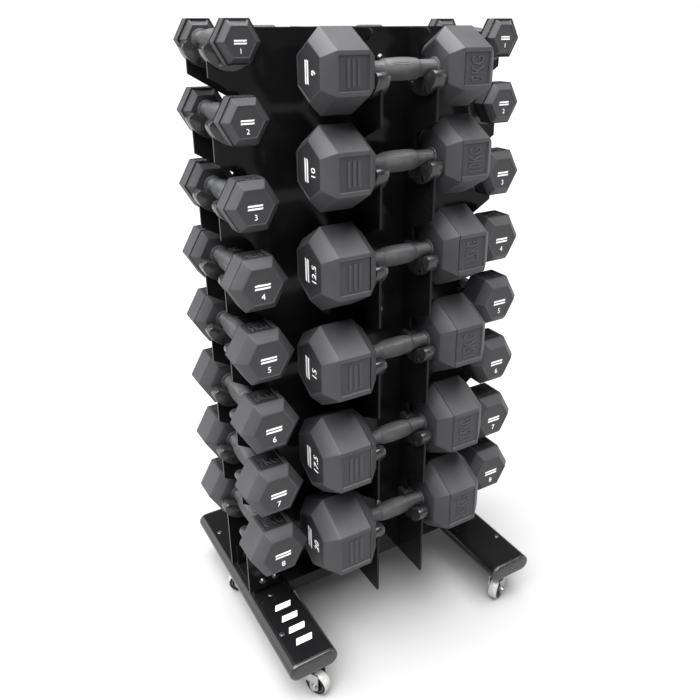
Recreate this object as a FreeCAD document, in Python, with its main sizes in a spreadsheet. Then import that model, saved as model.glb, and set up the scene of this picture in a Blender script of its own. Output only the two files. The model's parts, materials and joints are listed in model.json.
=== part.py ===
"""Loaded dumbbell tower rack, as a parametric FreeCAD document (millimetres).

Frame: +Z up, origin on the floor under the middle of the rack.  -Y is the front and X runs across.
Two toothed plates carry the light dumbbells on the left and right edges.  Two pairs of toothed fins
carry the heavy ones on the front and the back.  Everything stands on two oval foot tubes with swivel
casters.  Each dumbbell rests in two moulded saddles and lifts out along the slope of their ramps.
"""
import FreeCAD
import Part
import Sketcher
import os

SIZES = {
    # whole rack
    "rack_height": 1114, "caster_height": 60, "foot_spacing": 454, "foot_gap": 6,
    # foot tubes, end caps, brackets and the crossmember between them
    "foot_length": 464, "foot_width": 93.4, "foot_height": 34, "foot_wall": 3,
    "cap_length": 7, "cap_plug": 15, "cap_play": 0.2,
    "bracket_inner": 178, "bracket_outer": 258, "bracket_ear": 45, "ear_inner": 203,
    "cross_length": 400, "cross_depth": 162, "cross_height": 26, "cross_wall": 3,
    # sheet metal column
    "plate_thickness": 4, "plate_spacing": 92, "fin_spacing": 101, "web_thickness": 3,
    "plate_lift": 4, "side_web_spacing": 363, "side_web_drop": 60,
    "fin_top_reach": 140, "fin_corner": 12,
    # openings in plates and fins, measured outward and upward from the handle axis
    "side_reach": 236, "front_reach": 132, "edge_reach": 32, "notch_radius": 22, "notch_top": 8,
    "side_valley_in": 31, "side_valley_up": 20, "side_tooth_up": 57,
    "front_valley_in": 25, "front_valley_up": 35, "front_tooth_up": 59,
    # saddles and their screws
    "saddle_width": 22, "seat_play": 0.5, "exit_angle": 28, "lip_radius": 9.5, "lip_reach": 29.5,
    "saddle_back": 38, "saddle_arm_up": 10, "slot_play": 0.1,
    "screw_radius": 2, "screw_head": 3.6, "screw_cap": 1.4,
    "screw_out": 16, "screw_out_down": 30, "screw_in": 25, "screw_in_down": 24,
    # frame bolts and tube plugs
    "bolt_radius": 4, "bolt_head": 7, "bolt_tip": 4.5, "bolt_cap": 4, "nut_thickness": 5,
    "foot_bolt_inner": 214, "foot_bolt_outer": 240, "foot_bolt_rise": 21,
    "plug_radius": 5, "plug_tip": 3.5, "plug_cap": 1.5,
    # dumbbells
    "neck_radius": 13, "grip_radius": 17, "grip_length": 30, "grip_taper": 18,
    "collar_radius": 16, "collar_play": 0.8, "side_half_gap": 62, "front_half_gap": 65,
    "head_taper": 0.29, "head_face": 0.7,
    # casters
    "wheel_radius": 23, "wheel_width": 19, "wheel_round": 4, "hub_width": 22, "hub_radius": 11,
    "axle_radius": 3, "axle_play": 0.05, "nut_radius": 6, "nut_height": 3, "caster_trail": 20,
    "leg_play": 0.3, "leg_sheet": 2.5, "leg_width": 18, "crown_radius": 15, "crown_sheet": 3,
    "crown_top": 51.5, "swivel_play": 0.2, "kingpin_radius": 4, "kingpin_play": 0.05,
    "kingpin_head": 6.5, "kingpin_cap": 2.3, "housing_radius": 16, "top_plate": 3, "top_plate_size": 46,
    "caster_inset": 22, "middle_caster": 69,
}

# one row per dumbbell: name, depth of its axis under the rack top, hexagon corner radius, half length
SIDE_ROWS = [
    ("1kg", 18, 35, 98), ("2kg", 123, 39, 106), ("3kg", 243, 45, 116), ("4kg", 363, 49, 126),
    ("5kg", 483, 51.5, 133), ("6kg", 608, 53, 138), ("7kg", 733, 54, 142), ("8kg", 858, 55.5, 146),
]
FRONT_ROWS = [
    ("9kg", 58, 60.5, 152), ("10kg", 195, 65, 157), ("12_5kg", 350, 69.5, 161),
    ("15kg", 518, 73.5, 166), ("17_5kg", 690, 77, 169), ("20kg", 862, 79.5, 173),
]
WEB_BOLTS = {"web_bolt_high": 45, "web_bolt_middle": 463, "web_bolt_low": 881}

# each caster: name, side of the rack, place along the foot, heading of its trail in degrees
CASTERS = [
    ("front_left", -1, "caster_inset - foot_length / 2", -60),
    ("front_right", 1, "caster_inset - foot_length / 2", 205),
    ("middle_left", -1, "middle_caster", 152),
    ("middle_right", 1, "middle_caster", 20),
    ("rear_left", -1, "foot_length / 2 - caster_inset", 60),
    ("rear_right", 1, "foot_length / 2 - caster_inset", 150),
]

VALUES = dict(SIZES)
VALUES.update(WEB_BOLTS)
for row_name, row_depth, row_corner, row_half in SIDE_ROWS + FRONT_ROWS:
    VALUES[f"depth_{row_name}"] = row_depth
    VALUES[f"corner_{row_name}"] = row_corner
    VALUES[f"half_{row_name}"] = row_half

doc = FreeCAD.newDocument("dumbbell_tower")
table = doc.addObject("Spreadsheet::Sheet", "Sizes")
for line, (alias, value) in enumerate(VALUES.items(), start=1):
    table.set(f"A{line}", alias)
    table.set(f"B{line}", str(value))
    table.setAlias(f"B{line}", alias)
doc.recompute()


# ---------------------------------------------------------------- helpers

def formula(text):
    """Turn a formula over size names into one over spreadsheet cells."""
    result = ""
    word = ""
    for letter in str(text) + " ":
        if letter.isalnum() or letter in "_.":
            word += letter
            continue
        result += f"Sizes.{word}" if word in VALUES else word
        result += letter
        word = ""
    return result.strip()


def number(text):
    """The present value of a formula."""
    return float(table.evalExpression(formula(text)))


def bind(item, **formulas):
    """Bind properties of an object to formulas over the sizes."""
    for name, text in formulas.items():
        item.setExpression(name, formula(text))
    return item


def place(item, at, axis=(0, 0, 1), turn="0"):
    """Bind the placement of an object: a point, and a turn about an axis, all as formulas."""
    where = "; ".join(f"({formula(part)}) * 1 mm" for part in at)
    about = "; ".join(str(part) for part in axis)
    item.setExpression("Placement", f"placement(vector({where}); rotation(vector({about}); {formula(turn)}))")
    return item


def box(name, size, at, centred="xy"):
    """A box of the given size, centred on the point along the axes named in `centred`."""
    item = bind(doc.addObject("Part::Box", name), Length=size[0], Width=size[1], Height=size[2])
    corner = [f"{at[i]} - ({size[i]}) / 2" if "xyz"[i] in centred else at[i] for i in range(3)]
    return place(item, corner)


def post(name, radius, height, at):
    """A cylinder standing on the point."""
    return place(bind(doc.addObject("Part::Cylinder", name), Radius=radius, Height=height), at)


def rod(name, radius, length, middle):
    """A cylinder along Y, given by its middle."""
    item = bind(doc.addObject("Part::Cylinder", name), Radius=radius, Height=length)
    return place(item, (middle[0], f"{middle[1]} + ({length}) / 2", middle[2]), (1, 0, 0), "90")


def cone(name, base, tip, height, at, axis=(0, 0, 1), turn="0"):
    item = bind(doc.addObject("Part::Cone", name), Radius1=base, Radius2=tip, Height=height)
    return place(item, at, axis, turn)


def fuse(name, items):
    item = doc.addObject("Part::MultiFuse", name)
    item.Shapes = items
    item.Refine = True
    return item


def group(name, items):
    item = doc.addObject("Part::Compound", name)
    item.Links = items
    return item


def cut(name, base, tools):
    """The base without the tools."""
    item = doc.addObject("Part::Cut", name)
    item.Base = base
    item.Tool = tools[0] if len(tools) == 1 else group(name + "_tools", tools)
    item.Refine = True
    return item


def copy(name, master, at, axis=(0, 0, 1), turn="0"):
    """A linked copy of a master piece, moved and turned."""
    item = doc.addObject("App::Link", name)
    item.LinkedObject = master
    item.LinkTransform = False
    return place(item, at, axis, turn)


def outline(name, corners, thickness):
    """A closed polygon in the XZ plane, extruded evenly to both sides along Y."""
    sketch = doc.addObject("Sketcher::SketchObject", name + "_outline")
    points = [FreeCAD.Vector(number(x), number(z), 0) for x, z in corners]
    for start, end in zip(points, points[1:] + points[:1]):
        sketch.addGeometry(Part.LineSegment(start, end), False)
    for i, (x, z) in enumerate(corners):
        sketch.addConstraint(Sketcher.Constraint("Coincident", (i - 1) % len(corners), 2, i, 1))
        for kind, text in (("DistanceX", x), ("DistanceY", z)):
            index = sketch.addConstraint(Sketcher.Constraint(kind, -1, 1, i, 1, number(text)))
            sketch.setExpression(f"Constraints[{index}]", formula(text))
    sketch.Placement = FreeCAD.Placement(FreeCAD.Vector(), FreeCAD.Rotation(FreeCAD.Vector(1, 0, 0), 90))
    item = doc.addObject("Part::Extrusion", name)
    item.Base = sketch
    item.DirMode = "Custom"
    item.Dir = FreeCAD.Vector(0, 1, 0)
    item.Symmetric = True
    item.Solid = True
    return bind(item, LengthFwd=thickness)


def row_height(name):
    return f"rack_height - depth_{name}"


def signed(sign, text):
    return f"{sign} * ({text})"


nodes = {}

# ---------------------------------------------------------------- feet

TUBE_TOP = "caster_height + foot_height"
COLUMN_FOOT = f"{TUBE_TOP} + foot_gap"
FOOT_BOLT_HEIGHT = f"{COLUMN_FOOT} + foot_bolt_rise"


def oval_bar(name, shrink, length, middle):
    """A bar along Y with the foot's oval section, made smaller all round by `shrink`."""
    radius = f"foot_height / 2 - ({shrink})"
    swing = "(foot_width - foot_height) / 2"
    x, y, z = middle
    core = box(name + "_core", (f"2 * {swing}", length, f"2 * ({radius})"), middle, "xyz")
    ends = [rod(f"{name}_end_{sign + 1}", radius, length, (f"{x} + {signed(sign, swing)}", y, z))
            for sign in (-1, 1)]
    return fuse(name, [core] + ends)


base_bolts = []
caps = []
brackets = []
for side, sign in (("left", -1), ("right", 1)):
    middle = (signed(sign, "foot_spacing / 2"), "0", "caster_height + foot_height / 2")
    outside = oval_bar(f"tube_{side}_outside", "0", "foot_length", middle)
    inside = oval_bar(f"tube_{side}_inside", "foot_wall", "foot_length + 2", middle)
    shanks = [post(f"base_shank_{side}_{i}", "bolt_radius", "foot_gap + foot_wall + 5",
                   (signed(sign, f"foot_bolt_{key}"), "0", f"{TUBE_TOP} - foot_wall - 5"))
              for i, key in enumerate(("inner", "outer"))]
    for i, key in enumerate(("inner", "outer")):
        head = cone(f"base_head_{side}_{i}", "bolt_head", "bolt_tip", "bolt_cap",
                    (signed(sign, f"foot_bolt_{key}"), "0", COLUMN_FOOT))
        base_bolts.append(fuse(f"base_bolt_{side}_{i}", [shanks[i], head]))
    nodes[f"foot_tube_{side}"] = cut(f"foot_tube_{side}", outside, [inside] + shanks)
    for end in (-1, 1):
        tag = f"{side}_{end + 1}"
        face = (middle[0], signed(end, "foot_length / 2 + cap_length / 2"), middle[2])
        plug = (middle[0], signed(end, "foot_length / 2 - cap_plug / 2"), middle[2])
        caps.append(fuse(f"cap_{tag}", [oval_bar(f"cap_face_{tag}", "0", "cap_length", face),
                                        oval_bar(f"cap_plug_{tag}", "foot_wall + cap_play", "cap_plug", plug)]))
    base_middle = (signed(sign, "(bracket_inner + bracket_outer) / 2"), "0", TUBE_TOP)
    inner_gap = "(plate_spacing - plate_thickness)"
    parts = [box(f"bracket_base_{side}", ("bracket_outer - bracket_inner", inner_gap, "foot_gap"), base_middle)]
    for face in (-1, 1):
        ear_at = (signed(sign, "(ear_inner + bracket_outer) / 2"),
                  signed(face, f"{inner_gap} / 2 - nut_thickness / 2"), TUBE_TOP)
        parts.append(box(f"bracket_ear_{side}_{face + 1}",
                         ("bracket_outer - ear_inner", "nut_thickness", "foot_gap + bracket_ear"), ear_at))
    brackets.append((side, sign, fuse(f"bracket_{side}_blank", parts), shanks))
nodes["foot_end_caps"] = group("foot_end_caps", caps)

cross_at = ("0", "0", COLUMN_FOOT)
cross_out = box("cross_outside", ("cross_length", "cross_depth", "cross_height"), cross_at)
cross_in = box("cross_inside", ("cross_length + 2", "cross_depth - 2 * cross_wall",
                                "cross_height - 2 * cross_wall"), ("0", "0", f"{COLUMN_FOOT} + cross_wall"))
nodes["crossmember"] = cut("crossmember", cross_out, [cross_in])

# ---------------------------------------------------------------- bolts through plates, ears and webs

plate_bolts = []
plate_shanks = {-1: [], 1: []}
bracket_shanks = {"left": [], "right": []}
for face in (-1, 1):
    for side, sign in (("left", -1), ("right", 1)):
        for key in ("inner", "outer"):
            tag = f"{side}_{key}_{face + 1}"
            x = signed(sign, f"foot_bolt_{key}")
            length = "plate_thickness + 2 * nut_thickness"
            middle = signed(face, "plate_spacing / 2 + plate_thickness / 2 - (plate_thickness + 2 * nut_thickness) / 2")
            shank = rod(f"foot_shank_{tag}", "bolt_radius", length, (x, middle, FOOT_BOLT_HEIGHT))
            head = cone(f"foot_head_{tag}", "bolt_head", "bolt_tip", "bolt_cap",
                        (x, signed(face, "plate_spacing / 2 + plate_thickness / 2"), FOOT_BOLT_HEIGHT),
                        (1, 0, 0), str(-90 * face))
            nut = rod(f"foot_nut_{tag}", "bolt_head", "nut_thickness",
                      (x, signed(face, "plate_spacing / 2 - plate_thickness / 2 - 1.5 * nut_thickness"),
                       FOOT_BOLT_HEIGHT))
            plate_bolts.append(fuse(f"foot_bolt_{tag}", [shank, head, nut]))
            plate_shanks[face].append(shank)
            bracket_shanks[side].append(shank)

WEB_FACE = "cross_depth / 2"
web_bolts = []
web_shanks = {-1: [], 1: []}
for face in (-1, 1):
    for alias in WEB_BOLTS:
        tag = f"{alias}_{face + 1}"
        height = f"rack_height - {alias}"
        plate_back = "plate_spacing / 2 - plate_thickness / 2"
        length = f"{WEB_FACE} - ({plate_back}) + nut_thickness"
        shank = rod(f"shank_{tag}", "bolt_radius", length, ("0", signed(face, f"{WEB_FACE} - ({length}) / 2"), height))
        head = cone(f"head_{tag}", "bolt_head", "bolt_tip", "bolt_cap", ("0", signed(face, WEB_FACE), height),
                    (1, 0, 0), str(-90 * face))
        nut = rod(f"nut_{tag}", "bolt_head", "nut_thickness",
                  ("0", signed(face, f"{plate_back} - nut_thickness / 2"), height))
        web_bolts.append(fuse(f"bolt_{tag}", [shank, head, nut]))
        web_shanks[face].append(shank)
        plate_shanks[face].append(shank)

plugs = []
for sign in (-1, 1):
    for end in (-1, 1):
        for i, (shift, along) in enumerate((("5", "62"), ("26", "160"))):
            plugs.append(cone(f"plug_{sign + 1}_{end + 1}_{i}", "plug_radius", "plug_tip", "plug_cap",
                              (signed(sign, f"foot_spacing / 2 + {shift}"), signed(end, along), TUBE_TOP)))
nodes["frame_bolts"] = group("frame_bolts", base_bolts + plate_bolts + web_bolts + plugs)
nodes["foot_brackets"] = group("foot_brackets", [
    cut(f"bracket_{side}", blank, shanks + bracket_shanks[side]) for side, sign, blank, shanks in brackets])

# ---------------------------------------------------------------- openings and saddles, outward = +X

RAMP_DROP = "notch_radius / cos(exit_angle)"
RAMP_END = "edge_reach + 30"


def screw_rods(name, radius, length, offset="0"):
    """Two rods at the saddle's screw positions."""
    return [rod(f"{name}_out", radius, length, ("screw_out", offset, "-screw_out_down")),
            rod(f"{name}_in", radius, length, ("-screw_in", offset, "-screw_in_down"))]


def opening(family):
    """The space cut out of a plate for one dumbbell: a throat, a round notch and two screw holes."""
    corners = [
        (RAMP_END, f"({RAMP_END}) * tan(exit_angle) - {RAMP_DROP}"),
        ("notch_radius * sin(exit_angle)", "-notch_radius * cos(exit_angle)"),
        ("-notch_radius", "0"),
        ("-notch_radius", "notch_top"),
        (f"-{family}_valley_in", f"{family}_valley_up"),
        ("edge_reach", f"{family}_tooth_up"),
        (RAMP_END, f"{family}_tooth_up"),
    ]
    throat = outline(f"{family}_throat", corners, "2 * plate_thickness")
    notch = rod(f"{family}_notch", "notch_radius", "2 * plate_thickness", ("0", "0", "0"))
    holes = screw_rods(f"{family}_hole", "screw_radius", "2 * plate_thickness")
    return fuse(f"{family}_opening", [throat, notch] + holes)


SEAT = "neck_radius + seat_play"
LIP_ALONG = f"(lip_reach - ({SEAT} + lip_radius) * sin(exit_angle)) / cos(exit_angle)"
LIP_UP = f"({LIP_ALONG}) * sin(exit_angle) - ({SEAT} + lip_radius) * cos(exit_angle)"


def make_saddle():
    """A moulded saddle: a disc about the handle axis with a ramp, a seat, a round lip and a slot."""
    wide = "saddle_width"
    far = "3 * saddle_back"
    outer = f"lip_radius + sqrt(pow(lip_reach; 2) + pow({LIP_UP}; 2))"
    half = f"-({far}) / 2"
    disc = rod("saddle_disc", outer, wide, ("0", "0", "0"))
    ramp = place(bind(doc.addObject("Part::Box", "saddle_ramp"), Length=far, Width=far, Height=far),
                 (f"({SEAT}) * sin(exit_angle)", half, f"-({SEAT}) * cos(exit_angle)"), (0, -1, 0), "exit_angle")
    seat = rod("saddle_seat", SEAT, far, ("0", "0", "0"))
    well = place(bind(doc.addObject("Part::Box", "saddle_well"), Length=far, Width=far, Height=far),
                 (f"-({SEAT})", half, "0"))
    above = place(bind(doc.addObject("Part::Box", "saddle_above"), Length=far, Width=far, Height=far),
                  (f"-({far}) / 2", half, "saddle_arm_up"))
    behind = place(bind(doc.addObject("Part::Box", "saddle_behind"), Length=far, Width=far, Height=far),
                   (f"-saddle_back - ({far})", half, f"-({far}) / 2"))
    lip_at = ("lip_reach", half, LIP_UP)
    tip_low = place(bind(doc.addObject("Part::Box", "saddle_tip_low"), Length=far, Width=far, Height=far),
                    lip_at, (0, -1, 0), f"atan(({LIP_UP}) / lip_reach)")
    tip_high = place(bind(doc.addObject("Part::Box", "saddle_tip_high"), Length=far, Width=far, Height=far),
                     lip_at, (0, -1, 0), "exit_angle")
    body = cut("saddle_body", disc, [ramp, seat, well, above, behind, tip_low, tip_high])
    lip = rod("saddle_lip", "lip_radius", wide, ("lip_reach", "0", LIP_UP))
    slot_box = box("saddle_slot_box", (far, "plate_thickness + 2 * slot_play", far),
                   ("edge_reach + slot_play - 1.5 * saddle_back", "0", "0"), "xyz")
    slot_core = rod("saddle_slot_core", "notch_radius - slot_play", wide, ("0", "0", "0"))
    slot_ramp = place(bind(doc.addObject("Part::Box", "saddle_slot_ramp"), Length=far, Width=far, Height=far),
                      ("(notch_radius - slot_play) * sin(exit_angle)", half,
                       "-(notch_radius - slot_play) * cos(exit_angle)"), (0, -1, 0), "exit_angle")
    slot = cut("saddle_slot", slot_box, [slot_core, slot_ramp])
    holes = screw_rods("saddle_hole", "screw_radius", "saddle_width + 2")
    return cut("saddle_master", fuse("saddle_blank", [body, lip]), [slot] + holes)


saddle = make_saddle()
screws = []
for number_of, shank in enumerate(screw_rods("screw_shank", "screw_radius", "saddle_width")):
    heads = screw_rods(f"screw_front_{number_of}", "screw_head", "screw_cap", "-(saddle_width + screw_cap) / 2")
    tails = screw_rods(f"screw_back_{number_of}", "screw_head", "screw_cap", "(saddle_width + screw_cap) / 2")
    screws.append(fuse(f"screw_{number_of}", [shank, heads[number_of], tails[number_of]]))
screw_pair = group("screw_pair", screws)
side_opening = opening("side")
front_opening = opening("front")

# ---------------------------------------------------------------- plates, fins and webs

side_saddles = []
front_saddles = []
screw_pairs = []
for face, name in ((-1, "front"), (1, "rear")):
    y = signed(face, "plate_spacing / 2")
    blank = box(f"plate_{name}_blank", ("2 * (side_reach + edge_reach)", "plate_thickness",
                                        f"rack_height - ({COLUMN_FOOT}) - plate_lift"),
                    ("0", y, f"{COLUMN_FOOT} + plate_lift"))
    under = box(f"plate_{name}_under", ("cross_length", "2 * plate_thickness", "cross_height"),
                ("0", y, COLUMN_FOOT))
    tools = [under] + plate_shanks[face]
    for sign, turn in ((-1, "180"), (1, "0")):
        for row, depth, corner, half in SIDE_ROWS:
            at = (signed(sign, "side_reach"), y, row_height(row))
            tag = f"{name}_{sign + 1}_{row}"
            tools.append(copy(f"opening_{tag}", side_opening, at, turn=turn))
            side_saddles.append(copy(f"saddle_{tag}", saddle, at, turn=turn))
            screw_pairs.append(copy(f"screws_{tag}", screw_pair, at, turn=turn))
    nodes[f"plate_{name}"] = cut(f"plate_{name}", blank, tools)

    plate_face = "plate_spacing / 2 + plate_thickness / 2"
    fin_middle = f"({plate_face} + front_reach + edge_reach) / 2"
    for sign, side in ((-1, "left"), (1, "right")):
        x = signed(sign, "fin_spacing / 2")
        tag = f"{name}_fin_{side}"
        sheet = box(f"{tag}_blank", ("plate_thickness", f"front_reach + edge_reach - ({plate_face})",
                                     f"rack_height - ({COLUMN_FOOT})"),
                    (x, signed(face, fin_middle), COLUMN_FOOT))
        notch = box(f"{tag}_foot", ("2 * plate_thickness", "cross_depth", "cross_height"), (x, "0", COLUMN_FOOT))
        corner = box(f"{tag}_corner", ("2 * plate_thickness", "edge_reach * 2", "2 * fin_corner"),
                     (x, signed(face, "fin_top_reach - fin_corner + edge_reach"), "rack_height - 2 * fin_corner"))
        round_end = place(bind(doc.addObject("Part::Cylinder", f"{tag}_round"), Radius="fin_corner",
                               Height="plate_thickness"),
                          (f"{x} - plate_thickness / 2", signed(face, "fin_top_reach - fin_corner"),
                           "rack_height - fin_corner"), (0, 1, 0), "90")
        rounded = fuse(f"{tag}_rounded", [cut(f"{tag}_trimmed", sheet, [notch, corner]), round_end])
        turn = str(90 * face % 360)
        tools = []
        for row, depth, radius, half in FRONT_ROWS:
            at = (x, signed(face, "front_reach"), row_height(row))
            tools.append(copy(f"opening_{tag}_{row}", front_opening, at, turn=turn))
            front_saddles.append(copy(f"saddle_{tag}_{row}", saddle, at, turn=turn))
            screw_pairs.append(copy(f"screws_{tag}_{row}", screw_pair, at, turn=turn))
        nodes[tag] = cut(tag, rounded, tools)

    web = box(f"{name}_web_blank", ("fin_spacing - plate_thickness", "web_thickness",
                                    f"rack_height - ({COLUMN_FOOT}) - cross_height"),
              ("0", signed(face, f"{WEB_FACE} - web_thickness / 2"), f"{COLUMN_FOOT} + cross_height"))
    nodes[f"{name}_web"] = cut(f"{name}_web", web, web_shanks[face])

nodes["side_webs"] = group("side_webs", [
    box(f"side_web_{sign + 1}", ("web_thickness", "plate_spacing - plate_thickness",
                                 f"rack_height - side_web_drop - ({COLUMN_FOOT}) - cross_height"),
        (signed(sign, "side_web_spacing / 2"), "0", f"{COLUMN_FOOT} + cross_height")) for sign in (-1, 1)])
nodes["saddles_side"] = group("saddles_side", side_saddles)
nodes["saddles_front_rear"] = group("saddles_front_rear", front_saddles)
nodes["saddle_screws"] = group("saddle_screws", screw_pairs)

# ---------------------------------------------------------------- dumbbells, masters along Z


def make_handle(family, sheet_offset):
    """A round handle: thin necks where the saddles hold it, a swelling grip, a collar at each head."""
    gap = f"{family}_half_gap"
    collar_from = f"{sheet_offset} / 2 + saddle_width / 2 + collar_play"
    pieces = [post(f"{family}_neck", "neck_radius", f"2 * {gap}", ("0", "0", f"-{gap}")),
              post(f"{family}_grip", "grip_radius", "grip_length", ("0", "0", "-grip_length / 2"))]
    for end in (-1, 1):
        turn = "0" if end > 0 else "180"
        pieces.append(cone(f"{family}_taper_{end + 1}", "grip_radius", "neck_radius", "grip_taper",
                           ("0", "0", signed(end, "grip_length / 2")), (1, 0, 0), turn))
        at = ("0", "0", collar_from if end > 0 else f"-{gap}")
        pieces.append(post(f"{family}_collar_{end + 1}", "collar_radius", f"{gap} - ({collar_from})", at))
    return fuse(f"{family}_handle", pieces)


def make_head(row, family):
    """A hexagonal head with tapered ends: four hexagons joined by flat faces."""
    near = f"{family}_half_gap"
    taper = f"head_taper * corner_{row}"
    stations = [(near, f"head_face * corner_{row}"), (f"{near} + {taper}", f"corner_{row}"),
                (f"half_{row} - {taper}", f"corner_{row}"), (f"half_{row}", f"head_face * corner_{row}")]
    sections = []
    for i, (along, radius) in enumerate(stations):
        section = bind(doc.addObject("Part::RegularPolygon", f"head_{row}_{i}"), Circumradius=radius)
        section.Polygon = 6
        sections.append(place(section, ("0", "0", along)))
    head = doc.addObject("Part::Loft", f"head_{row}")
    head.Sections = sections
    head.Solid = True
    head.Ruled = True
    return head


FACES = [
    ("left", SIDE_ROWS, "side", ("-side_reach", "0"), (1, 0, 0)),
    ("right", SIDE_ROWS, "side", ("side_reach", "0"), (1, 0, 0)),
    ("front", FRONT_ROWS, "front", ("0", "-front_reach"), (0, 1, 0)),
    ("rear", FRONT_ROWS, "front", ("0", "front_reach"), (0, 1, 0)),
]
handles = {"side": make_handle("side", "plate_spacing"), "front": make_handle("front", "fin_spacing")}
heads = {}
for rows, family in ((SIDE_ROWS, "side"), (FRONT_ROWS, "front")):
    for row, depth, corner, half in rows:
        head = make_head(row, family)
        other = copy(f"head_{row}_other", head, ("0", "0", f"-{family}_half_gap - half_{row}"))
        heads[row] = [head, other]
for face, rows, family, (x, y), axis in FACES:
    for row, depth, corner, half in rows:
        name = f"dumbbell_{face}_{row}"
        item = group(name, [handles[family]] + heads[row])
        nodes[name] = place(item, (x, y, row_height(row)), axis, "90")

# ---------------------------------------------------------------- casters, trail along +X

CROWN_BOTTOM = "crown_top - crown_sheet"
LEG_INNER = "hub_width / 2 + leg_play"
mount = fuse("caster_mount", [
    box("mount_plate", ("top_plate_size", "top_plate_size", "top_plate"), ("0", "0", "caster_height - top_plate")),
    post("mount_housing", "housing_radius", "caster_height - crown_top - swivel_play",
         ("0", "0", "crown_top + swivel_play")),
    post("mount_pin", "kingpin_radius", f"caster_height - ({CROWN_BOTTOM}) + swivel_play",
         ("0", "0", f"{CROWN_BOTTOM} - swivel_play")),
    post("mount_pin_head", "kingpin_head", "kingpin_cap", ("0", "0", f"{CROWN_BOTTOM} - swivel_play - kingpin_cap")),
])
crown = fuse("fork_crown", [
    post("crown_disc", "crown_radius", "crown_sheet", ("0", "0", CROWN_BOTTOM)),
    box("crown_bar", ("caster_trail", f"2 * ({LEG_INNER} + leg_sheet)", "crown_sheet"),
        ("caster_trail / 2", "0", CROWN_BOTTOM)),
])
legs = []
for sign in (-1, 1):
    middle = signed(sign, f"{LEG_INNER} + leg_sheet / 2")
    upper = box(f"leg_plate_{sign + 1}", ("leg_width", "leg_sheet", "crown_top - wheel_radius"),
                ("caster_trail", middle, "wheel_radius"))
    root = box(f"leg_root_{sign + 1}", ("caster_trail", "leg_sheet", "crown_top - wheel_radius - leg_width / 2"),
               ("caster_trail / 2", middle, "wheel_radius + leg_width / 2"))
    lower = rod(f"leg_end_{sign + 1}", "leg_width / 2", "leg_sheet", ("caster_trail", middle, "wheel_radius"))
    nut = rod(f"axle_nut_{sign + 1}", "nut_radius", "nut_height",
              ("caster_trail", signed(sign, f"{LEG_INNER} + leg_sheet + nut_height / 2"), "wheel_radius"))
    legs += [upper, root, lower, nut]
axle = rod("fork_axle", "axle_radius", f"2 * ({LEG_INNER} + leg_sheet + nut_height)",
           ("caster_trail", "0", "wheel_radius"))
pin_hole = post("fork_pin_hole", "kingpin_radius + kingpin_play", "3 * crown_sheet",
                ("0", "0", f"{CROWN_BOTTOM} - crown_sheet"))
fork = cut("caster_fork_master", fuse("caster_fork_blank", [crown, axle] + legs), [pin_hole])

wheel_at = ("caster_trail", "0", "wheel_radius")
tread_edge = "(wheel_width - 2 * wheel_round)"
wheel_parts = [rod("wheel_tread", "wheel_radius", tread_edge, wheel_at),
               rod("wheel_hub", "hub_radius", "hub_width", wheel_at)]
for sign in (-1, 1):
    wheel_parts.append(cone(f"wheel_shoulder_{sign + 1}", "wheel_radius", "wheel_radius - wheel_round", "wheel_round",
                            ("caster_trail", signed(sign, f"{tread_edge} / 2"), "wheel_radius"),
                            (1, 0, 0), str(-90 * sign)))
wheel = cut("caster_wheel_master", fuse("caster_wheel_blank", wheel_parts),
            [rod("wheel_bore", "axle_radius + axle_play", "hub_width + 2", wheel_at)])

mounts = []
for name, sign, along, heading in CASTERS:
    at = (signed(sign, "foot_spacing / 2"), along, "0")
    mounts.append(copy(f"mount_{name}", mount, at))
    for kind, master in (("fork", fork), ("wheel", wheel)):
        item = group(f"caster_{kind}_{name}", [master])
        nodes[f"caster_{kind}_{name}"] = place(item, at, turn=str(heading))
nodes["caster_mounts"] = group("caster_mounts", mounts)

# ---------------------------------------------------------------- check and write

doc.recompute()
for item in doc.Objects:
    if "Invalid" in item.State or "Error" in item.State:
        raise ValueError(f"{item.Name} did not build: {item.State}")
os.makedirs("parts", exist_ok=True)
for name, item in nodes.items():
    item.Label = name
    if item.Shape.isNull() or not item.Shape.isValid() or not item.Shape.Solids:
        raise ValueError(f"{name} has no valid solid")
    item.Shape.exportStep(f"parts/{name}.step")
print(len(nodes), "nodes written")
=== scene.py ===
import json
import math

import bpy
import numpy as np
from bpy.props import FloatProperty, FloatVectorProperty, PointerProperty
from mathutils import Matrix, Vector


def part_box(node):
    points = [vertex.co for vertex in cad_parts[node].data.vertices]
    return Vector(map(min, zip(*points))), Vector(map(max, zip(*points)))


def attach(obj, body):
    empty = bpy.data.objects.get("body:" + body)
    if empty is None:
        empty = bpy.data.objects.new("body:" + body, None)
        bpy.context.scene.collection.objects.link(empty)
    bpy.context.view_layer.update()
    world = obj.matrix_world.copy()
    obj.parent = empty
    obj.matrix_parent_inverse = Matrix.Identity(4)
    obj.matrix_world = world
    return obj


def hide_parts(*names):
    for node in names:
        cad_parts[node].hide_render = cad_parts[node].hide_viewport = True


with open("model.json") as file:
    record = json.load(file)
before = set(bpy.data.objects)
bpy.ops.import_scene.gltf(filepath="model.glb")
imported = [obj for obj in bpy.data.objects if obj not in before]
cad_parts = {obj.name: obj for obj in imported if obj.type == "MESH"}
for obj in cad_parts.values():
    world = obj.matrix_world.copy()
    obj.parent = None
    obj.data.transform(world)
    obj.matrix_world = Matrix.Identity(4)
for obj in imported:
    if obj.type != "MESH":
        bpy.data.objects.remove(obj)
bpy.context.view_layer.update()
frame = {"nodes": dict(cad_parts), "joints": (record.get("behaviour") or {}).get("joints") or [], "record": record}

bl_info = {
    "name": "Dumbbell Tower",
    "version": (1, 0, 0),
    "blender": (4, 5, 0),
    "location": "3D View > Sidebar > Dumbbell Tower",
    "description": "Rubber hex dumbbells, moulded saddles, casters and finishes for a steel dumbbell tower",
    "category": "Object",
}

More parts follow.
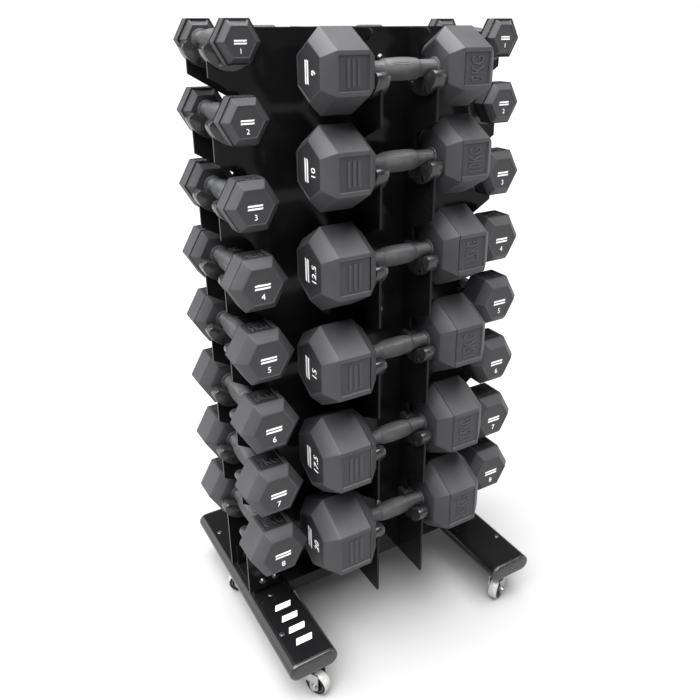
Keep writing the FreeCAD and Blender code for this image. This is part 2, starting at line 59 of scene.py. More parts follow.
ROWS = {"left": ("1", "2", "3", "4", "5", "6", "7", "8"), "right": ("1", "2", "3", "4", "5", "6", "7", "8"),
        "front": ("9", "10", "12_5", "15", "17_5", "20"), "rear": ("9", "10", "12_5", "15", "17_5", "20")}
CASTERS = ("front_left", "front_right", "middle_left", "middle_right", "rear_left", "rear_right")


# ---------------------------------------------------------------- settings

class DumbbellSizes(bpy.types.PropertyGroup):
    side_gap: FloatProperty(name="Side half gap", description="Middle to head on the side dumbbells",
                            default=0.062, unit="LENGTH")
    front_gap: FloatProperty(name="Front half gap", description="Middle to head on the front dumbbells",
                             default=0.065, unit="LENGTH")
    taper: FloatProperty(name="Taper", description="Length of a head's tapered end over its corner radius",
                         default=0.29, min=0.05, max=0.6)
    face: FloatProperty(name="End face", description="Radius of an end face over the head's corner radius",
                        default=0.7, min=0.3, max=1.0)
    panel_depth: FloatProperty(name="Panel depth", description="How deep the name panel is sunk into a facet",
                               default=0.0022, unit="LENGTH")
    grip: FloatProperty(name="Grip radius", description="Radius of the handle in the middle",
                        default=0.017, unit="LENGTH")
    neck: FloatProperty(name="Neck radius", description="Radius of the handle in the saddles",
                        default=0.013, unit="LENGTH")


class SaddleSizes(bpy.types.PropertyGroup):
    width: FloatProperty(name="Width", description="Width of a saddle along the handle",
                         default=0.022, unit="LENGTH")
    edge: FloatProperty(name="Edge radius", description="Rounding of the moulded edges",
                        default=0.0016, unit="LENGTH")
    angle: FloatProperty(name="Ramp angle", description="Slope of the ramp that the handle slides over",
                         default=math.radians(28), subtype="ANGLE")


class StageSettings(bpy.types.PropertyGroup):
    eye: FloatVectorProperty(name="Eye", description="Where the camera stands", size=3,
                             default=(-0.617, -1.056, 1.123), subtype="XYZ")
    yaw: FloatProperty(name="Yaw", description="Turn of the camera to the right of +Y",
                       default=math.radians(31.2), subtype="ANGLE")
    pitch: FloatProperty(name="Pitch", description="How far the camera looks down",
                         default=math.radians(22.3), subtype="ANGLE")
    lens: FloatProperty(name="Lens", description="Focal length in millimetres", default=36.14)
    shift: FloatVectorProperty(name="Shift", description="Sideways and upward shift of the frame", size=2,
                               default=(-0.0234, -0.0589))
    sky: FloatProperty(name="Sky", description="Strength of the even light from all round", default=0.08)
    floor_grey: FloatProperty(name="Floor grey", description="Lightness of the floor", default=0.32)


class FinishColours(bpy.types.PropertyGroup):
    paint: FloatVectorProperty(name="Paint", description="Gloss powder coat on the steel", size=3,
                               default=(0.006, 0.006, 0.0065), subtype="COLOR")
    rubber: FloatVectorProperty(name="Rubber", description="Rubber of the dumbbell heads", size=3,
                                default=(0.03, 0.03, 0.034), subtype="COLOR")
    plastic: FloatVectorProperty(name="Plastic", description="Moulded saddles and caps", size=3,
                                 default=(0.02, 0.02, 0.021), subtype="COLOR")
    tyre: FloatVectorProperty(name="Tyre", description="Caster tread", size=3,
                              default=(0.38, 0.38, 0.37), subtype="COLOR")
    grain: FloatProperty(name="Grain", description="Strength of the rubber's grain", default=0.35)


# ---------------------------------------------------------------- shader expressions

class Wire:
    """A shader socket that can be used in sums and products."""

    def __init__(self, paint, socket):
        self.paint = paint
        self.socket = socket

    def _math(self, operation, a, b):
        return self.paint.node("ShaderNodeMath", {"operation": operation}, {0: a, 1: b})

    def __add__(self, other):
        return self._math("ADD", self, other)

    __radd__ = __add__

    def __sub__(self, other):
        return self._math("SUBTRACT", self, other)

    def __rsub__(self, other):
        return self._math("SUBTRACT", other, self)

    def __mul__(self, other):
        return self._math("MULTIPLY", self, other)

    __rmul__ = __mul__


class Paint:
    """A material under construction around one Principled shader."""

    def __init__(self, name):
        self.material = bpy.data.materials.new(name)
        self.material.use_nodes = True
        self.tree = self.material.node_tree
        self.shader = self.tree.nodes["Principled BSDF"]

    def node(self, kind, settings, inputs, output=0):
        """Add a node: its settings first, then values or links on its sockets."""
        node = self.tree.nodes.new(kind)
        for key, value in settings.items():
            setattr(node, key, value)
        for key, value in inputs.items():
            self.put(node.inputs[key], value)
        return Wire(self, node.outputs[output])

    def put(self, socket, value):
        if isinstance(value, Wire):
            self.tree.links.new(value.socket, socket)
        else:
            socket.default_value = value

    def set(self, **values):
        """Set or link inputs of the shader, spaces in their names written as underscores."""
        for key, value in values.items():
            self.put(self.shader.inputs[key.replace("_", " ")], value)
        return self

    def where(self):
        return self.node("ShaderNodeTexCoord", {}, {}, "Object")

    def noise(self, scale, detail=4.0, rough=0.55):
        return self.node("ShaderNodeTexNoise", {}, {"Vector": self.where(), "Scale": scale, "Detail": detail,
                                                    "Roughness": rough})

    def ramp(self, value, low, high):
        """0 below low, 1 above high, straight between."""
        return self.node("ShaderNodeMapRange", {"clamp": True}, {"Value": value, "From Min": low, "From Max": high})

    def blend(self, mask, first, second):
        """Mix of two colours by a mask."""
        return self.node("ShaderNodeMix", {"data_type": "RGBA"}, {0: mask, 6: first, 7: second}, 2)

    def bump(self, height, strength, distance, normal=None):
        inputs = {"Height": height, "Strength": strength, "Distance": distance}
        if normal is not None:
            inputs["Normal"] = normal
        return self.node("ShaderNodeBump", {}, inputs)

    def edges(self, width):
        """1 on convex edges and 0 on flats, from how far a rounded normal leaves the true one; the paints use it for
        painted edge highlights.
        """
        soft = self.node("ShaderNodeBevel", {"samples": 4}, {"Radius": width})
        true = self.node("ShaderNodeNewGeometry", {}, {}, "Normal")
        same = self.node("ShaderNodeVectorMath", {"operation": "DOT_PRODUCT"}, {0: soft, 1: true}, "Value")
        return self.ramp(1.0 - same, 0.02, 0.25), soft


def rgba(colour, gain=1.0):
    return (colour[0] * gain, colour[1] * gain, colour[2] * gain, 1.0)


def gloss_paint(name, shine):
    """Gloss black powder coat: faint orange peel, dust in soft patches, and a painted highlight as a paler line on
    the convex edges.
    """
    base = bpy.context.scene.tower_finish.paint
    p = Paint(name)
    edge, soft = p.edges(0.0012)
    dust = p.ramp(p.noise(9.0, 5.0), 0.5, 0.75)
    speck = p.ramp(p.noise(900.0, 2.0), 0.66, 0.74)
    # the paler colour (0.03) on convex edges is a painted highlight, not wear
    p.set(Base_Color=p.blend(edge, p.blend(dust, rgba(base), rgba(base, 2.0)), (0.03, 0.03, 0.032, 1.0)),
          Roughness=0.13 + 0.07 * dust + 0.1 * edge + 0.1 * speck,
          Normal=p.bump(p.noise(260.0, 2.0), 0.12, 0.0006, soft))
    p.shader.inputs["Specular IOR Level"].default_value = shine
    return p.material


def head_rubber():
    """Moulded rubber: fine pebble grain, cloudy bloom, and a painted highlight that makes the convex edges paler."""
    colours = bpy.context.scene.tower_finish
    p = Paint("head_rubber")
    edge, soft = p.edges(0.0009)
    bloom = p.noise(14.0, 5.0)
    pebble = p.noise(1300.0, 2.0)
    dots = p.node("ShaderNodeTexVoronoi", {}, {"Vector": p.where(), "Scale": 900.0}, 0)
    tone = p.blend(p.ramp(bloom, 0.35, 0.7), rgba(colours.rubber, 0.85), rgba(colours.rubber, 1.25))
    # rubber at three times its colour on the convex edges is a painted highlight
    p.set(Base_Color=p.blend(edge * 0.7, tone, rgba(colours.rubber, 3.0)),
          Roughness=0.5 + 0.12 * bloom - 0.08 * edge,
          Normal=p.bump(pebble + 0.6 * dots, colours.grain, 0.0005, soft))
    return p.material


def face_and_panel_shade_rubber():
    """The smoother, darker rubber of the end faces; the same darker rubber laid on the floors of the sunk panels is
    painted shade in the recesses.
    """
    colours = bpy.context.scene.tower_finish
    p = Paint("end_face_and_panel_shade_rubber")
    cloud = p.noise(30.0, 4.0)
    p.set(Base_Color=p.blend(cloud, rgba(colours.rubber, 0.45), rgba(colours.rubber, 0.75)),
          Roughness=0.42 + 0.12 * cloud, Normal=p.bump(p.noise(1100.0, 2.0), 0.25, 0.0004))
    return p.material


def grip_metal(name, along):
    """Dark coated handle with a diamond knurl: two families of slanting ridges round the bar."""
    p = Paint(name)
    split = p.node("ShaderNodeSeparateXYZ", {}, {"Vector": p.where()}, along)
    cross = [p.node("ShaderNodeSeparateXYZ", {}, {"Vector": p.where()}, i) for i in "XYZ" if i != along]
    ridges = []
    for sign in (-1.0, 1.0):
        slant = split * 2600.0 + (cross[0] - cross[1]) * (sign * 2600.0)
        ridges.append(p.node("ShaderNodeMath", {"operation": "SINE"}, {0: slant}))
    height = ridges[0] * ridges[1]
    wear = p.ramp(p.noise(60.0, 4.0), 0.45, 0.75)
    p.set(Base_Color=p.blend(wear, (0.06, 0.061, 0.063, 1.0), (0.1, 0.102, 0.105, 1.0)), Metallic=0.4,
          Roughness=0.38 + 0.15 * wear, Normal=p.bump(height, 0.55, 0.0006))
    return p.material


def moulded_plastic():
    """Black moulded plastic with a satin shine, scuffed a little where handles slide."""
    base = bpy.context.scene.tower_finish.plastic
    p = Paint("moulded_plastic")
    scuff = p.ramp(p.noise(45.0, 6.0, 0.7), 0.52, 0.72)
    p.set(Base_Color=p.blend(scuff, rgba(base), rgba(base, 1.8)), Roughness=0.24 + 0.16 * scuff,
          Normal=p.bump(p.noise(700.0, 2.0), 0.12, 0.0003))
    return p.material


def metal(name, colour, rough):
    """Plated steel with fine scratches and cloudy tarnish."""
    p = Paint(name)
    cloud = p.ramp(p.noise(70.0, 5.0), 0.35, 0.75)
    scratch = p.noise(1500.0, 2.0)
    p.set(Base_Color=p.blend(cloud, rgba(colour), rgba(colour, 0.7)), Metallic=1.0,
          Roughness=rough + 0.12 * cloud, Normal=p.bump(scratch, 0.2, 0.0002))
    return p.material


def white_print():
    """White screen print, thin in places over the grain."""
    p = Paint("white_print")
    thin = p.ramp(p.noise(500.0, 3.0), 0.62, 0.8)
    p.set(Base_Color=p.blend(thin, (0.86, 0.86, 0.86, 1.0), (0.5, 0.5, 0.5, 1.0)), Roughness=0.5 + 0.1 * thin)
    return p.material


def tyre_plastic():
    """Pale grey polyurethane tread with floor marks."""
    base = bpy.context.scene.tower_finish.tyre
    p = Paint("pale_tread")
    marks = p.ramp(p.noise(120.0, 5.0), 0.5, 0.8)
    p.set(Base_Color=p.blend(marks, rgba(base), rgba(base, 0.55)), Roughness=0.3 + 0.2 * marks,
          Normal=p.bump(p.noise(600.0, 2.0), 0.1, 0.0003))
    p.shader.inputs["Coat Weight"].default_value = 0.3
    return p.material


MATERIALS = {}


def finish(name):
    """Each finish is made once, when it is first asked for."""
    makers = {
        "paint": lambda: gloss_paint("gloss_powder_coat", 0.13),
        "foot": lambda: gloss_paint("foot_powder_coat", 0.45), "rubber": head_rubber, "face": face_and_panel_shade_rubber,
        "plastic": moulded_plastic, "print": white_print, "tyre": tyre_plastic,
        "grip_x": lambda: grip_metal("knurled_grip_x", "X"), "grip_y": lambda: grip_metal("knurled_grip_y", "Y"),
        "bolt": lambda: metal("dark_bolt", (0.17, 0.17, 0.175), 0.3),
        "zinc": lambda: metal("zinc_plate", (0.42, 0.42, 0.43), 0.28),
        "ring": lambda: metal("dark_side_wall", (0.03, 0.03, 0.034), 0.35),
        "disc": lambda: metal("zinc_disc", (0.3, 0.29, 0.32), 0.3),
    }
    if name not in MATERIALS:
        MATERIALS[name] = makers[name]()
    return MATERIALS[name]


# ---------------------------------------------------------------- surfaces

class Shape:
    """Collects grids, faces and text into one mesh with several finishes."""

    def __init__(self):
        self.points = []
        self.faces = []
        self.marks = []
        self.count = 0

    def add(self, points, faces, mark):
        self.points.append(points)
        self.faces += [tuple(int(i) + self.count for i in face) for face in faces]
        self.marks += [mark] * len(faces)
        self.count += len(points)

    def grid(self, place, mark, last=None):
        """A grid of rows by columns of points; columns close on themselves, end rows get one face each."""
        rows, columns = place.shape[:2]
        index = np.arange(rows * columns).reshape(rows, columns)
        nxt = np.roll(index, -1, axis=1)
        quads = np.stack([index[:-1], nxt[:-1], nxt[1:], index[1:]], axis=-1).reshape(-1, 4).tolist()
        self.add(place.reshape(-1, 3), quads + [index[0][::-1].tolist(), index[-1].tolist()], mark)
        if last is not None:
            self.marks[-1] = last

    def build(self, name, finishes, body, smooth=35):
        mesh = bpy.data.meshes.new(name)
        mesh.from_pydata(np.concatenate(self.points).tolist(), [], self.faces)
        mesh.polygons.foreach_set("material_index", self.marks)
        mesh.polygons.foreach_set("use_smooth", [True] * len(self.faces))
        for item in finishes:
            mesh.materials.append(finish(item))
        mesh.validate()
        mesh.set_sharp_from_angle(angle=math.radians(smooth))
        piece = bpy.data.objects.new(name, mesh)
        bpy.context.scene.collection.objects.link(piece)
        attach(piece, body)
        return piece


def axes_for(face):
    """Local axes (across a corner, across a flat, along the handle) of a dumbbell on one face of the tower."""
    if face in ("left", "right"):
        return np.array([[1, 0, 0], [0, 0, 1], [0, -1, 0]], float)
    return np.array([[0, 0, 1], [0, -1, 0], [1, 0, 0]], float)


# places of the columns across one facet, over the facet's width
FACET = np.array([-0.5, -0.492, -0.478, -0.45, -0.4, -0.38, -0.19, 0.0, 0.19, 0.38, 0.4, 0.45, 0.478, 0.492])


PANEL = (0.22, 0.24, 0.39)  # margin at the handle, margin at the end face, half width: parts of length and width
CREST = 0.0006  # length of the small rounding on an end face
STEP = 0.0012  # length of a panel's wall
SHARP = 120  # power of the mean that rounds the hexagon's corners


def head_surface(shape, corner, near, far, end, turn, middle, sizes):
    """One hexagonal head.  Across the axis the outline is a hexagon with soft corners: the radius is
    the flat distance over a high power mean of the six facing cosines.  Along the axis it grows from
    the end face over a taper to full size and back.  Two opposite facets have a sunk panel."""
    flat = corner * math.cos(math.pi / 6)
    side = 2 * flat * math.tan(math.pi / 6)
    facet = np.arctan(FACET * side / flat)
    theta = np.concatenate([math.pi / 6 + k * math.pi / 3 + facet for k in range(6)])
    normals = math.pi / 6 + np.arange(6) * math.pi / 3
    cosines = np.clip(np.cos(theta[:, None] - normals[None, :]), 0, None)
    radius = flat * np.sum(cosines ** SHARP, axis=1) ** (-1 / SHARP)
    taper, face = sizes.taper * corner, sizes.face
    length = far - near
    panel_a, panel_b = near + PANEL[0] * length, far - PANEL[1] * length
    stations = [(near, 0.28), (near, face - 0.02), (near + CREST, face), (near + taper - 0.001, 0.985),
                (near + taper + 0.001, 1.0), (panel_a - STEP, 1.0), (panel_a, 1.0), (panel_b, 1.0),
                (panel_b + STEP, 1.0), (far - taper - 0.001, 1.0), (far - taper + 0.001, 0.985),
                (far - CREST, face + 0.004), (far, face - 0.015), (far, face - 0.055),
                (far - 0.0007, face - 0.065)]
    along = np.array([s for s, _ in stations])[:, None]
    scale = np.array([k for _, k in stations])[:, None]
    r = radius[None, :] * scale
    sunk = np.zeros_like(r)
    rows = (along[:, 0] >= panel_a - 1e-9) & (along[:, 0] <= panel_b + 1e-9)
    for k in (1, 4):
        across = np.abs(np.tan(theta - normals[k])) * flat / side
        inside = (np.cos(theta - normals[k]) > 0.8) & (across < PANEL[2])
        sunk += np.outer(rows, inside) * sizes.panel_depth
    u, v = r * np.cos(theta), r * np.sin(theta)
    local = np.stack([u, v - sunk * np.sign(v), np.broadcast_to(along, r.shape) * end], axis=-1)
    if end < 0:
        local = local[:, ::-1]
    shape.grid(middle + local @ turn, 0, 3)


COLLAR = 0.016  # radius of the collar beside each head
SWELL = 0.033  # half length of the handle's swelling


def handle_surface(shape, gap, seat, turn, middle, sizes):
    """The handle: a circle whose radius along the axis swells by a power of a cosine from neck to grip,
    with a collar beside each head."""
    s = np.linspace(-SWELL, SWELL, 25)
    swell = sizes.neck + (sizes.grip - sizes.neck) * np.clip(np.cos(s / SWELL * math.pi / 2), 0, 1) ** 0.35
    ends = [(seat, sizes.neck), (seat + 0.0003, COLLAR - 0.0005), (seat + 0.0008, COLLAR), (gap + 0.0005, COLLAR)]
    along = np.concatenate([[-k for k, _ in ends[::-1]], s, [k for k, _ in ends]])
    r = np.concatenate([[k for _, k in ends[::-1]], swell, [k for _, k in ends]])
    theta = np.linspace(0, 2 * math.pi, 40, endpoint=False)
    u, v = r[:, None] * np.cos(theta), r[:, None] * np.sin(theta)
    shape.grid(middle + np.stack([u, v, np.broadcast_to(along[:, None], u.shape)], axis=-1) @ turn, 1)


def lettering(shape, words, height, centre, right, up, thick, mark, wide=None):
    """Text turned to a mesh, centred on a point, running along `right` with its tops towards `up`."""
    curve = bpy.data.curves.new("words", "FONT")
    curve.body = words
    curve.align_x = "CENTER"
    curve.align_y = "CENTER"
    curve.resolution_u = 3
    curve.extrude = 0.5
    holder = bpy.data.objects.new("words", curve)
    mesh = bpy.data.meshes.new_from_object(holder)
    points = np.empty(len(mesh.vertices) * 3)
    mesh.vertices.foreach_get("co", points)
    points = points.reshape(-1, 3)
    low, high = points.min(0), points.max(0)
    size = height / (high[1] - low[1])
    stretch = size if wide is None else min(size, wide / (high[0] - low[0]))
    points, same = np.unique(np.round(points, 5), axis=0, return_inverse=True)
    points -= (low + high) / 2
    out = np.cross(right, up)
    place = centre + points[:, :1] * stretch * right + points[:, 1:2] * size * up + points[:, 2:] * thick * out
    same = same.ravel()
    faces = [tuple(same[list(face.vertices)]) for face in mesh.polygons]
    faces = [face for face in faces if len(set(face)) == len(face)]
    shape.add(place, faces, mark)
    bpy.data.meshes.remove(mesh)
    bpy.data.objects.remove(holder)
    bpy.data.curves.remove(curve)


def slab(shape, centre, right, up, wide, high, thick, mark, lean=0.0):
    """A flat bar: a parallelogram by its width, height and lean, with a thickness."""
    out = np.cross(right, up)
    corners = []
    for w in (-0.5, 0.5):
        for i, j in ((-0.5, -0.5), (0.5, -0.5), (0.5, 0.5), (-0.5, 0.5)):
            corners.append(centre + (i * wide + j * lean) * right + j * high * up + w * thick * out)
    faces = [(3, 2, 1, 0), (4, 5, 6, 7), (0, 1, 5, 4), (1, 2, 6, 5), (2, 3, 7, 6), (3, 0, 4, 7)]
    shape.add(np.array(corners), faces, mark)


def revolve(shape, profile, centre, axis, mark, steps=48):
    """A closed profile of (along, radius) points turned about an axis through the centre."""
    profile = np.array(profile, float)
    theta = np.linspace(0, 2 * math.pi, steps, endpoint=False)
    side = np.cross(axis, [0, 0, 1.0])
    side /= np.linalg.norm(side)
    top = np.cross(side, axis)
    u, v = profile[:, 1:] * np.cos(theta), profile[:, 1:] * np.sin(theta)
    place = (centre + profile[:, 0][:, None, None] * np.asarray(axis, float) + u[..., None] * side
             + v[..., None] * (-top))
    shape.grid(place, mark)


# ---------------------------------------------------------------- operators

PRINT = 0.0004  # thickness of a print
RELIEF = 0.0026  # height of the raised letters and bars in a panel


class TOWER_OT_dumbbells(bpy.types.Operator):
    """Rubber hex dumbbells with sunk panels, printed numbers and a swelling handle"""
    bl_idname = "tower.dumbbells"
    bl_label = "Dumbbells"

    def execute(self, context):
        for face, weights in ROWS.items():
            for weight in weights:
                self.dumbbell(context.scene.tower_dumbbells, face, weight)
        return {"FINISHED"}

    def dumbbell(self, sizes, face, weight):
        node = f"dumbbell_{face}_{weight}kg"
        low, high = (np.array(corner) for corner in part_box(node))
        middle, size = (low + high) / 2, high - low
        side = face in ("left", "right")
        corner, far = (size[0] / 2, size[1] / 2) if side else (size[2] / 2, size[0] / 2)
        near, collar = (sizes.side_gap, 0.0042) if side else (sizes.front_gap, 0.0027)
        turn = axes_for(face)
        axis = turn[2]
        shape = Shape()
        handle_surface(shape, near, near - collar, turn, middle, sizes)
        for end in (-1, 1):
            head_surface(shape, corner, near, far, end, turn, middle, sizes)
            self.panels(shape, sizes, corner, near, far, end, turn, middle, None if end < 0 and not side else weight)
            self.prints(shape, corner, end, turn, middle + axis * end * (far - 0.0003), side, weight)
        # finish 3, the darker end face rubber, is also the painted shade on the panel floors
        piece = shape.build(f"weights_{face}_{weight}kg",
                            ("rubber", "grip_y" if side else "grip_x", "print", "face"), node)
        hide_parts(node)

    def panels(self, shape, sizes, corner, near, far, end, turn, middle, weight):
        """The floor of each sunk panel, a sheet of the darker end face rubber that is painted shade in the recess,
        with the raised weight, or three bars where there is none.
        """
        p, q, axis = turn
        length, room = far - near, corner * 0.6
        flat = corner * math.cos(math.pi / 6)
        middle_of_head = middle + axis * end * (near + far) / 2
        for way in (-1, 1):
            surface = middle_of_head + q * way * (flat - sizes.panel_depth + 0.0002)
            right, up = p * way * end, -axis * end
            # the darker floor sheet paints shade into the sunk panel
            slab(shape, surface - q * way * 0.0001, right, up, corner * 0.75, length * 0.52, 0.0003, 3)
            if weight is not None:
                lettering(shape, f"{weight.replace('_', '.')}KG", length * 0.27, surface, right, up, RELIEF, 0, room)
            else:
                for k in (-1, 0, 1):
                    slab(shape, surface + up * k * length * 0.095, right, up, room, length * 0.045, RELIEF, 0)

    def prints(self, shape, corner, end, turn, plane, side, weight):
        """The printed weight and two bars on an end face."""
        p, q, _ = turn
        if side:
            right, up = p * end, q
        else:
            right, up = p, q * end
            plane = plane + up * corner * 0.1
        lettering(shape, weight.replace("_", "."), corner * 0.19, plane - up * corner * 0.33, right, up, PRINT, 2)
        for k in (-1, 1):
            slab(shape, plane + up * k * corner * 0.052, right, up, corner * 0.52, corner * 0.06, PRINT, 2,
                 corner * 0.03)


OUTWARD = {"left": (-1, 0, 0), "right": (1, 0, 0), "front": (0, -1, 0), "rear": (0, 1, 0)}


class TOWER_OT_saddles(bpy.types.Operator):
    """Moulded saddles with rounded edges, straddling the teeth of the plates and fins"""
    bl_idname = "tower.saddles"
    bl_label = "Saddles"

    def execute(self, context):
        sizes = context.scene.tower_saddles
        profile = self.profile(sizes)
        for name, node, faces, offset in (("saddles_on_plates", "saddles_side", ("left", "right"), 0.046),
                                          ("saddles_on_fins", "saddles_front_rear", ("front", "rear"), 0.0505)):
            shape = Shape()
            for face in faces:
                out = np.array(OUTWARD[face], float)
                up = np.array([0, 0, 1.0])
                across = np.cross(up, out)
                for weight in ROWS[face]:
                    low, high = (np.array(c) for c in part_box(f"dumbbell_{face}_{weight}kg"))
                    for way in (-1, 1):
                        centre = (low + high) / 2 + across * offset * way
                        self.saddle(shape, profile, centre, out, up, across, sizes)
            piece = shape.build(name, ("plastic",), "rack", 40)
            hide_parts(node)
        return {"FINISHED"}

    def profile(self, sizes):
        """The saddle's outline: arcs about the handle and the lip, joined by the ramp and the back arm."""
        slope, seat, lip, reach = sizes.angle, 0.0135, 0.0095, 0.0295
        along = (reach - (seat + lip) * math.sin(slope)) / math.cos(slope)
        rise = along * math.sin(slope) - (seat + lip) * math.cos(slope)
        outer = lip + math.hypot(reach, rise)
        tilt = math.atan2(rise, reach)

        def arc(cx, cy, r, a, b, n):
            t = np.linspace(a, b, n)
            return np.stack([cx + r * np.cos(t), cy + r * np.sin(t)], axis=1)

        back = math.pi + math.asin(0.0148 / outer)
        return np.concatenate([
            arc(0, 0, seat, math.pi, 1.5 * math.pi + slope, 9),
            arc(reach, rise, lip, math.pi / 2 + slope, tilt, 9),
            arc(0, 0, outer, tilt, back - 2 * math.pi, 16),
            arc(-0.036, 0.008, 0.002, math.pi, math.pi / 2, 4),
            arc(-0.0155, 0.008, 0.002, math.pi / 2, 0, 4)])

    def saddle(self, shape, profile, centre, out, up, across, sizes):
        """The outline carried across the width, drawn in along its own normals near both side faces."""
        step = np.roll(profile, -1, axis=0) - np.roll(profile, 1, axis=0)
        normal = np.stack([step[:, 1], -step[:, 0]], axis=1)
        normal /= np.linalg.norm(normal, axis=1, keepdims=True)
        half, edge = sizes.width / 2, sizes.edge
        rows = [(-half, edge), (-half + edge * 0.3, edge * 0.3), (-half + edge, 0),
                (half - edge, 0), (half - edge * 0.3, edge * 0.3), (half, edge)]
        grid = np.stack([profile + normal * inset for _, inset in rows])
        wide = np.array([w for w, _ in rows])[:, None]
        shape.grid(centre + grid[..., :1] * out + grid[..., 1:] * up + wide[..., None] * across, 0)


# half outlines of a wheel as (along the axle, radius)
TREAD = [(-0.0085, 0.0165), (-0.0095, 0.0175), (-0.0095, 0.0195), (-0.0085, 0.0215), (-0.006, 0.0227),
         (0, 0.023), (0.006, 0.0227), (0.0085, 0.0215), (0.0095, 0.0195), (0.0095, 0.0175), (0.0085, 0.0165)]
DISC = [(-0.011, 0.0035), (-0.011, 0.0065), (-0.0075, 0.0075), (-0.0065, 0.013), (-0.0087, 0.0145),
        (-0.0087, 0.0168), (0.0087, 0.0168), (0.0087, 0.0145), (0.0065, 0.013), (0.0075, 0.0075),
        (0.011, 0.0065), (0.011, 0.0035)]
WALL = [(0.0086, 0.0155), (0.0098, 0.0158), (0.0098, 0.0192), (0.0092, 0.0203), (0.0086, 0.0206)]


class TOWER_OT_wheels(bpy.types.Operator):
    """Caster wheels: a pale tread, a plated disc and a dark ring on each side"""
    bl_idname = "tower.wheels"
    bl_label = "Wheels"

    def execute(self, context):
        joints = {joint["name"]: joint for joint in frame["joints"]}
        for name in CASTERS:
            node = f"caster_wheel_{name}"
            joint = joints[f"roll_{name}"]
            centre, axis = np.array(joint["pos_m"]), np.array(joint["axis"])
            shape = Shape()
            revolve(shape, TREAD, centre, axis, 0)
            revolve(shape, DISC, centre, axis, 1)
            for way in (-1, 1):
                revolve(shape, [(k * way, r) for k, r in WALL][::way], centre, axis, 2)
            piece = shape.build(f"wheel_{name}", ("tyre", "disc", "ring"), node, 40)
            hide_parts(node)
        return {"FINISHED"}


FOOT = (0.227, 0.077)  # place of a foot's axis across, and its height
CAP_ROWS = [(0.217, 0.0035), (0.2315, 0.0035), (0.232, 0.0), (0.2345, -0.0), (0.2365, 0.0009),
            (0.238, 0.0026), (0.2388, 0.0055), (0.239, 0.0095)]  # (along the foot, inset from the outline)


class TOWER_OT_caps(bpy.types.Operator):
    """Rounded end caps on the oval foot tubes"""
    bl_idname = "tower.caps"
    bl_label = "End caps"

    def execute(self, context):
        shape = Shape()
        theta = np.linspace(0, 2 * math.pi, 64, endpoint=False)
        straight, radius = 0.0297, 0.017
        for side in (-1, 1):
            for end in (-1, 1):
                grid = []
                for along, inset in CAP_ROWS:
                    r = radius - inset
                    x = np.sign(np.cos(theta)) * straight * (np.abs(np.cos(theta)) > 1e-6) + r * np.cos(theta)
                    grid.append(np.stack([x, np.full_like(x, along * end), r * np.sin(theta)], axis=1))
                grid = np.stack(grid)
                if end > 0:
                    grid = grid[:, ::-1]
                shape.grid(grid + np.array([side * FOOT[0], 0, FOOT[1]]), 0)
        piece = shape.build("foot_caps", ("plastic",), "rack", 40)
        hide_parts("foot_end_caps")
        return {"FINISHED"}


class TOWER_OT_marks(bpy.types.Operator):
    """Plain white bars printed on top of the left foot"""
    bl_idname = "tower.marks"
    bl_label = "Printed marks"

    def execute(self, context):
        shape = Shape()
        for i in range(4):
            centre = np.array([-0.2235, -0.100 - 0.030 * i, 0.0941])
            slab(shape, centre, np.array([1.0, 0, 0]), np.array([0, 1.0, 0]), 0.031, 0.013, 0.0003, 0, 0.006)
        shape.build("foot_marks", ("print",), "rack")
        return {"FINISHED"}


class TOWER_OT_finishes(bpy.types.Operator):
    """Finishes for the steel parts that keep their own shape"""
    bl_idname = "tower.finishes"
    bl_label = "Steel finishes"

    def execute(self, context):
        by_slot = {"frame_black": "paint", "moulded_plastic": "plastic", "black_screw": "bolt",
                   "caster_steel": "zinc", "wheel_tyre": "tyre", "dumbbell_iron": "rubber"}
        slots = {part["node"]: part["material_slot"] for part in frame["record"]["subparts"]}
        for name, node in frame["nodes"].items():
            node.data.materials.clear()
            kind = "foot" if name.startswith("foot_tube") else by_slot[slots[name]]
            node.data.materials.append(finish(kind))
        return {"FINISHED"}


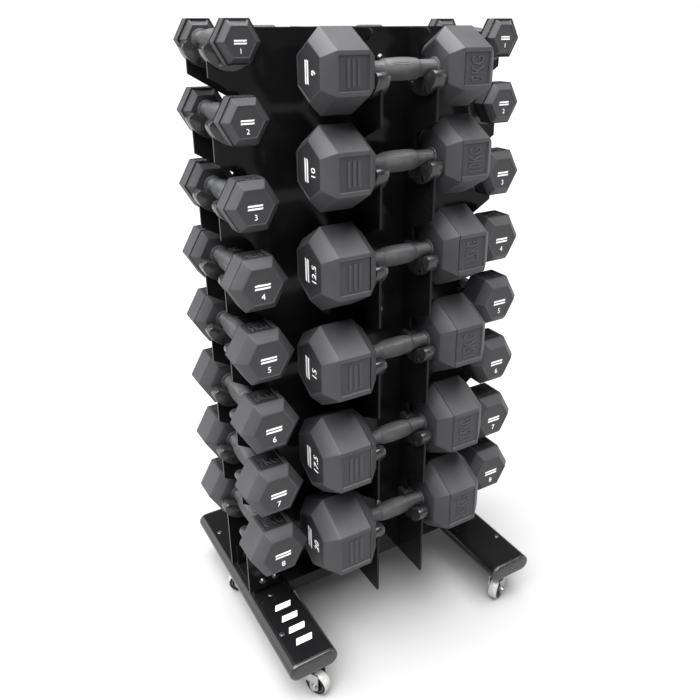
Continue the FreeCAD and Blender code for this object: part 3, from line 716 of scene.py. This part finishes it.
class TOWER_OT_stage(bpy.types.Operator):
    """Pale floor, soft studio lights and the camera"""
    bl_idname = "tower.stage"
    bl_label = "Stage"

    def execute(self, context):
        stage = context.scene.tower_stage
        steps = np.linspace(-60, 60, 3)
        x, y = np.meshgrid(steps, steps)
        mesh = bpy.data.meshes.new("studio_floor")
        index = np.arange(9).reshape(3, 3)
        quads = np.stack([index[:-1, :-1], index[:-1, 1:], index[1:, 1:], index[1:, :-1]], axis=-1).reshape(-1, 4)
        mesh.from_pydata(np.stack([x.ravel(), y.ravel(), x.ravel() * 0], axis=1).tolist(), [], quads.tolist())
        p = Paint("pale_floor")
        grey = stage.floor_grey
        p.set(Base_Color=(grey, grey, grey, 1.0), Roughness=0.55)
        mesh.materials.append(p.material)
        floor = bpy.data.objects.new("studio_floor", mesh)
        context.scene.collection.objects.link(floor)

        world = bpy.data.worlds.new("studio_world")
        world.use_nodes = True
        tree = world.node_tree
        background = tree.nodes["Background"]
        background.inputs["Color"].default_value = (1.0, 1.0, 1.0, 1.0)
        path = tree.nodes.new("ShaderNodeLightPath")
        level = tree.nodes.new("ShaderNodeMapRange")
        level.inputs["To Min"].default_value = stage.sky
        tree.links.new(path.outputs["Is Camera Ray"], level.inputs["Value"])
        tree.links.new(level.outputs["Result"], background.inputs["Strength"])
        context.scene.world = world
        for name, source, spread, power in (
                ("top", (-0.2, -0.05, 1.0), 75, 12.5),
                ("left", (-1.0, 0.8, 0.5), 45, 1.2),
                ("front", (1.0, -0.5, 0.25), 40, 0.9)):
            lamp = bpy.data.lights.new(name, "SUN")
            lamp.angle, lamp.energy = math.radians(spread), power
            holder = bpy.data.objects.new(name, lamp)
            holder.rotation_mode = "QUATERNION"
            holder.rotation_quaternion = Vector(source).to_track_quat("Z", "Y")
            context.scene.collection.objects.link(holder)

        camera = bpy.data.cameras.new("camera")
        camera.lens, camera.sensor_width = stage.lens, 36
        camera.shift_x, camera.shift_y = stage.shift
        eye = bpy.data.objects.new("camera", camera)
        eye.location = stage.eye
        look = Vector((math.sin(stage.yaw) * math.cos(stage.pitch), math.cos(stage.yaw) * math.cos(stage.pitch),
                       -math.sin(stage.pitch)))
        eye.rotation_mode = "QUATERNION"
        eye.rotation_quaternion = look.to_track_quat("-Z", "Y")
        context.scene.collection.objects.link(eye)
        context.scene.camera = eye
        context.scene.view_settings.view_transform = "Standard"
        return {"FINISHED"}


OPERATORS = (TOWER_OT_finishes, TOWER_OT_dumbbells, TOWER_OT_saddles, TOWER_OT_wheels, TOWER_OT_caps,
             TOWER_OT_marks, TOWER_OT_stage)
GROUPS = {"tower_dumbbells": DumbbellSizes, "tower_saddles": SaddleSizes, "tower_stage": StageSettings,
          "tower_finish": FinishColours}


class TOWER_PT_panel(bpy.types.Panel):
    """The tower's pieces and their sizes"""
    bl_idname = "TOWER_PT_panel"
    bl_label = "Dumbbell Tower"
    bl_space_type = "VIEW_3D"
    bl_region_type = "UI"
    bl_category = "Dumbbell Tower"

    def draw(self, context):
        for operator in OPERATORS:
            self.layout.operator(operator.bl_idname)
        for key, group in GROUPS.items():
            box = self.layout.box()
            for name in group.__annotations__:
                box.prop(getattr(context.scene, key), name)


def register():
    for key, group in GROUPS.items():
        bpy.utils.register_class(group)
        setattr(bpy.types.Scene, key, PointerProperty(type=group))
    for item in OPERATORS + (TOWER_PT_panel,):
        bpy.utils.register_class(item)


def unregister():
    for item in reversed(OPERATORS + (TOWER_PT_panel,)):
        bpy.utils.unregister_class(item)
    for key, group in GROUPS.items():
        delattr(bpy.types.Scene, key)
        bpy.utils.unregister_class(group)


def main():
    register()
    for operator in OPERATORS:
        family, name = operator.bl_idname.split(".")
        getattr(getattr(bpy.ops, family), name)()


if __name__ == "__main__":
    main()
